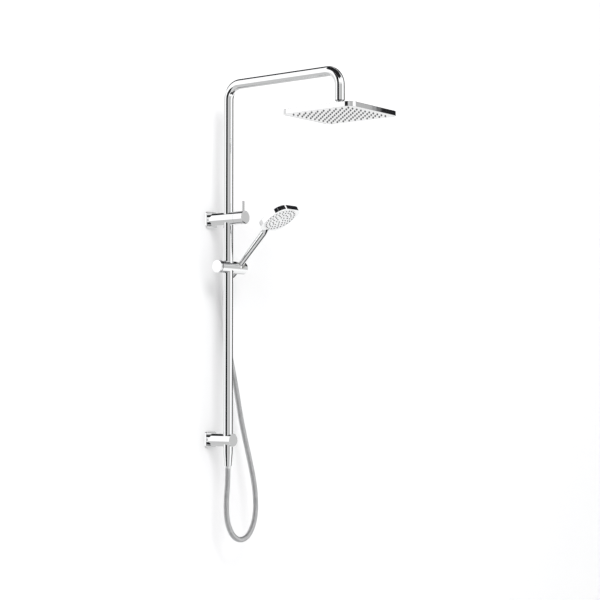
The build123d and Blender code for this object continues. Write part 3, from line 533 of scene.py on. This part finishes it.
def button_spring():
    """The release button's spring, wound to fill the box of the CAD spring.

    Centre line = start + pitch x turns along X + coil radius (cos, sin of the turn) across it;
    the wire's surface is a circle square to that line at each step.
    """
    low, high = (np.array(corner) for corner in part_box("button_spring"))
    middle = (low + high) / 2
    start, end = low[0] + SPRING_WIRE_R, high[0] - SPRING_WIRE_R
    whole = (end - start) / SPRING_PITCH
    turns = np.linspace(0, whole, int(whole * TURN_STEPS))
    turn = 2 * np.pi * turns
    nought = np.zeros_like(turn)
    outward = np.stack([nought, np.cos(turn), np.sin(turn)], 1)
    centre = outward * SPRING_R + middle
    centre[:, 0] = start + SPRING_PITCH * turns
    slope = SPRING_PITCH / (2 * np.pi * SPRING_R)
    tangent = np.stack([nought + slope, -np.sin(turn), np.cos(turn)], 1)
    tangent /= np.linalg.norm(tangent, axis=1)[:, None]
    third = np.cross(tangent, outward)
    angle = np.linspace(0, 2 * np.pi, WIRE_SIDES, endpoint=False)[:, None]
    ring = outward[:, None] * np.cos(angle) + third[:, None] * np.sin(angle)
    points = centre[:, None] + ring * SPRING_WIRE_R
    last = (len(turns) - 1) * WIRE_SIDES
    caps = [list(range(WIRE_SIDES))[::-1], list(range(last, last + WIRE_SIDES))]
    piece = make_piece(
        "wound_spring", points.reshape(-1, 3), grid_faces(len(turns), WIRE_SIDES), caps, STEEL
    )
    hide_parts("button_spring")
    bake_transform(piece)


button_spring()


# ---- Nozzles ------------------------------------------------------------------------------

NOZZLE_SIDES = 14
RAIN_COUNT = 10  # along each side of the overhead shower
RAIN_PITCH = (17.0 * MM, 18.0 * MM)


def nozzle_set(name, centres, x_dir, out_dir, profile, material):
    """Soft nozzles: one turned profile of (radius, height out of the face) at every centre.

    Point = centre + radius (cos angle x_dir + sin angle third) + height x out_dir.
    """
    x_dir, out_dir = np.array(x_dir, float), np.array(out_dir, float)
    third = np.cross(out_dir, x_dir)
    angle = np.linspace(0, 2 * np.pi, NOZZLE_SIDES, endpoint=False)
    ring = np.cos(angle)[:, None] * x_dir + np.sin(angle)[:, None] * third
    radius, height = np.array(profile).T * MM
    one = radius[:, None, None] * ring[None] + height[:, None, None] * out_dir
    points = np.asarray(centres)[:, None, None] + one[None]
    size = one.shape[0] * one.shape[1]
    starts = np.arange(len(centres)) * size
    quads = (grid_faces(len(radius), NOZZLE_SIDES)[None] + starts[:, None, None]).reshape(-1, 4)
    rings = []
    for start in starts.tolist():
        rings.append(list(range(start, start + NOZZLE_SIDES))[::-1])
        rings.append(list(range(start + size - NOZZLE_SIDES, start + size)))
    return make_piece(name, points.reshape(-1, 3), quads, rings, material)


RAIN_NOZZLE = [
    (1.85, -3.0), (1.85, 0.0), (2.6, 0.02), (2.6, 0.25), (1.95, 0.45),
    (1.75, 1.2), (1.55, 1.9), (1.3, 2.3), (0.95, 2.38), (0.7, 2.3), (0.6, 0.9),
]
HAND_NOZZLE = [
    (1.2, -2.4), (1.2, 0.0), (1.8, 0.02), (1.8, 0.2), (1.3, 0.35),
    (1.2, 1.0), (1.05, 1.55), (0.75, 1.68), (0.5, 1.6), (0.42, 0.6),
]


def overhead_nozzles():
    """A grid of nozzles that point down, as many along one side as along the other."""
    low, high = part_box("overhead_face")
    middle = (np.array(low) + np.array(high)) / 2
    steps = np.arange(RAIN_COUNT) - (RAIN_COUNT - 1) / 2
    x, y = (steps * pitch for pitch in RAIN_PITCH)
    grid = np.stack(np.meshgrid(x, y, indexing="ij"), -1).reshape(-1, 2)
    centres = np.c_[grid + middle[:2], np.full(len(grid), low[2])]
    piece = nozzle_set(
        "overhead_nozzles", centres, (1, 0, 0), (0, 0, -1), RAIN_NOZZLE, RAIN_SILICONE
    )
    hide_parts("overhead_nozzle_mat")
    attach(piece, "overhead_head")


HANDSET_LEAN = 45.0  # degrees from vertical
HEAD_BEND = 14.2  # degrees between the handle's axis and the spray face
HEAD_ALONG = 178.5  # the spray face's centre, from the slider's axis along the handle
HEAD_DROP = 17.0  # and in front of the handle's axis
FACE_IN = 0.4 * MM  # the spray face behind the head's front
HEAD_TILT = math.radians(90 - HANDSET_LEAN - HEAD_BEND)  # the spray face above level
HEAD_BACK = np.array([0.0, math.sin(HEAD_TILT), math.cos(HEAD_TILT)])
HANDLE_BACK = np.array([0.0, SLANT, SLANT])
HEAD_CENTRE = (SOCKET + HANDLE_AXIS * HEAD_ALONG - HANDLE_BACK * HEAD_DROP) * MM
HAND_RINGS = ((10.0, 6), (20.0, 13), (29.5, 20), (38.0, 26))  # radius, number of nozzles


def handset_nozzles():
    """Four rings of nozzles, each spread evenly round the spray face's centre."""
    x_dir = np.array([1.0, 0.0, 0.0])
    y_dir = np.cross(HEAD_BACK, x_dir)
    centres = []
    for radius, count in HAND_RINGS:
        angle = np.arange(count) * 2 * np.pi / count
        ring = np.cos(angle)[:, None] * x_dir + np.sin(angle)[:, None] * y_dir
        centres.append(HEAD_CENTRE + HEAD_BACK * FACE_IN + ring * radius * MM)
    piece = nozzle_set(
        "handset_nozzles", np.concatenate(centres), x_dir, -HEAD_BACK, HAND_NOZZLE, SILICONE
    )
    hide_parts("handset_nozzle_mat")
    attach(piece, "handset")


overhead_nozzles()
handset_nozzles()


# ---- Wall, floor and light ----------------------------------------------------------------


def stage_plane(name, centre, half_u, half_v, material):
    """A flat stage surface from its centre and two half-side vectors."""
    c, u, v = (np.array(t, float) for t in (centre, half_u, half_v))
    corners = [c - u - v, c + u - v, c + u + v, c - u + v]
    mesh = bpy.data.meshes.new(name)
    mesh.from_pydata([tuple(p) for p in corners], [], [(0, 1, 2, 3)])
    mesh.materials.append(material)
    plane = bpy.data.objects.new(name, mesh)
    bpy.context.collection.objects.link(plane)
    plane.visible_glossy = False


def wall_material():
    """White painted wall, seen from the room only: from behind it lets everything through."""
    material, tree, shader, place = start_material("painted_wall")
    shader.inputs["Base Color"].default_value = (0.93, 0.93, 0.935, 1)
    shader.inputs["Roughness"].default_value = 0.9
    shader.inputs["Specular IOR Level"].default_value = 0.1
    clear = tree.nodes.new("ShaderNodeBsdfTransparent")
    mix = tree.nodes.new("ShaderNodeMixShader")
    side = tree.nodes.new("ShaderNodeNewGeometry").outputs["Backfacing"]
    tree.links.new(side, mix.inputs[0])
    tree.links.new(shader.outputs[0], mix.inputs[1])
    tree.links.new(clear.outputs[0], mix.inputs[2])
    tree.links.new(mix.outputs[0], tree.nodes["Material Output"].inputs["Surface"])
    return material


def floor_material():
    """Pale matt floor."""
    material, _, shader, _ = start_material("pale_floor")
    shader.inputs["Base Color"].default_value = (0.86, 0.86, 0.86, 1)
    shader.inputs["Roughness"].default_value = 0.8
    return material


stage_plane("wall", (0, 0.0004, 0), (6, 0, 0), (0, 0, 4), wall_material())
stage_plane("floor", (0, 0, -1.9), (6, 0, 0), (0, 6, 0), floor_material())


def area_light(name, place, target, size, watts):
    """A square soft light aimed at a point, kept out of reflections."""
    data = bpy.data.lights.new(name, "AREA")
    data.size = size
    data.energy = watts
    light = bpy.data.objects.new(name, data)
    light.location = place
    aim = Vector(target) - Vector(place)
    light.rotation_mode = "QUATERNION"
    light.rotation_quaternion = aim.to_track_quat("-Z", "Y")
    light.visible_glossy = False
    bpy.context.collection.objects.link(light)


area_light("key_light", (-1.4, -2.6, 2.4), (0.1, 0, -0.1), 1.6, 60)


def ramp_node(tree, value, stops):
    """A colour ramp of grey levels; stops are (position, level)."""
    node = tree.nodes.new("ShaderNodeValToRGB")
    ramp = node.color_ramp
    for position, level in stops[2:]:
        ramp.elements.new(position)
    for element, (position, level) in zip(ramp.elements, sorted(stops)):
        element.position = position
        element.color = (level, level, level, 1)
    tree.links.new(value, node.inputs[0])
    return node.outputs[0]


def band(tree, value, low, high, soft):
    """One between low and high, nought outside, with soft edges."""
    rise = spread(tree, value, low - soft, low + soft)
    fall = spread(tree, value, high - soft, high + soft, 1.0, 0.0)
    return math_node(tree, "MULTIPLY", rise, fall)


# Brightness of the studio seen at eye level, by degrees from +X (0) through -Y (-90).
AROUND = [
    (-180, 0.62), (-150, 0.66), (-134, 0.64), (-113, 0.46), (-92, 0.58), (-80, 1.2),
    (-42.6, 1.2), (-41.8, 0.6), (-38.5, 0.6), (-36, 0.48), (0, 0.8), (28, 1.0), (34, 0.93),
    (42, 0.93), (52, 1.1), (70, 1.1), (98, 0.8), (130, 0.78), (136, 1.2), (160, 1.2),
]
# And away from eye level, from straight down (0) to straight up (1).
UP_DOWN = [
    (0.0, 0.65), (0.12, 0.7), (0.2, 1.05), (0.34, 1.15), (0.62, 1.15), (0.80, 1.2), (1.0, 1.1),
]
LOW_BACK = (0.6, 0.6, 0.6)  # low, on the wall's side
SCREEN_COLOUR = (0.018, 0.018, 0.02)
# Each dark screen is where all its bands meet: (measure, low, high, softness). x, y and z are
# those of the direction; turn is in degrees from +X, and from_left in degrees from -X.
SCREENS = [
    [("from_left", -23, 21, 0.8), ("z", -0.60, 0.58, 0.03)],
    [("turn", -34.85, 16, 0.2), ("z", -0.16, 0.9, 0.03)],
    [("turn", -15, 103, 2.0), ("z", 0.38, 0.86, 0.03)],
    [("x", 0.04, 0.64, 0.02), ("y", -0.45, -0.12, 0.02), ("z", -1.2, -0.72, 0.02)],
    [("x", -0.9, 0.34, 0.03), ("y", -0.72, 0.50, 0.03), ("z", 0.56, 1.2, 0.03)],
    [("y", -0.75, -0.47, 0.03), ("z", -0.9, -0.5, 0.03)],
]


def degrees_round(tree, across, along):
    """The angle of a direction in degrees, from the first measure towards the second."""
    return math_node(tree, "DEGREES", math_node(tree, "ARCTAN2", along, across))


def make_world():
    """A plain bright studio. Polished metal sees more of it: grey steps at eye level, a paler
    run from floor to ceiling, and the dark screens."""
    world = bpy.data.worlds.new("studio")
    world.use_nodes = True
    bpy.context.scene.world = world
    tree = world.node_tree
    out = tree.nodes["World Output"]
    place = tree.nodes.new("ShaderNodeTexCoord").outputs["Generated"]
    split = tree.nodes.new("ShaderNodeSeparateXYZ")
    tree.links.new(place, split.inputs[0])
    x, y, z = split.outputs
    measures = {
        "x": x,
        "y": y,
        "z": z,
        "turn": degrees_round(tree, x, y),
        "from_left": degrees_round(tree, math_node(tree, "MULTIPLY", x, -1.0), y),
    }

    stops = [((degrees + 180) / 360, level) for degrees, level in AROUND]
    turned = math_node(tree, "MULTIPLY_ADD", measures["turn"], 1 / 360, 0.5)
    level = ramp_node(tree, turned, stops)
    height = math_node(tree, "MULTIPLY_ADD", z, 0.5, 0.5)
    steep = spread(tree, math_node(tree, "ABSOLUTE", z), 0.22, 0.36)
    level = blend_colour(tree, steep, level, ramp_node(tree, height, UP_DOWN))
    behind = spread(tree, y, 0.2, 0.35)
    low_back = math_node(tree, "MULTIPLY", behind, band(tree, z, -0.8, -0.3, 0.06))
    level = blend_colour(tree, low_back, level, LOW_BACK)

    dark = 0.0
    for bands in SCREENS:
        screen = 1.0
        for measure, low, high, soft in bands:
            part = band(tree, measures[measure], low, high, soft)
            screen = math_node(tree, "MULTIPLY", screen, part)
        dark = math_node(tree, "MAXIMUM", dark, screen)
    level = blend_colour(tree, dark, level, SCREEN_COLOUR)

    rays = tree.nodes.new("ShaderNodeLightPath")
    glossy = tree.nodes.new("ShaderNodeBackground")
    tree.links.new(level, glossy.inputs[0])
    plain = tree.nodes.new("ShaderNodeBackground")
    plain.inputs[0].default_value = (1, 1, 1, 1)
    mix = tree.nodes.new("ShaderNodeMixShader")
    tree.links.new(rays.outputs["Is Glossy Ray"], mix.inputs[0])
    tree.links.new(plain.outputs[0], mix.inputs[1])
    tree.links.new(glossy.outputs[0], mix.inputs[2])
    tree.links.new(mix.outputs[0], out.inputs["Surface"])


make_world()
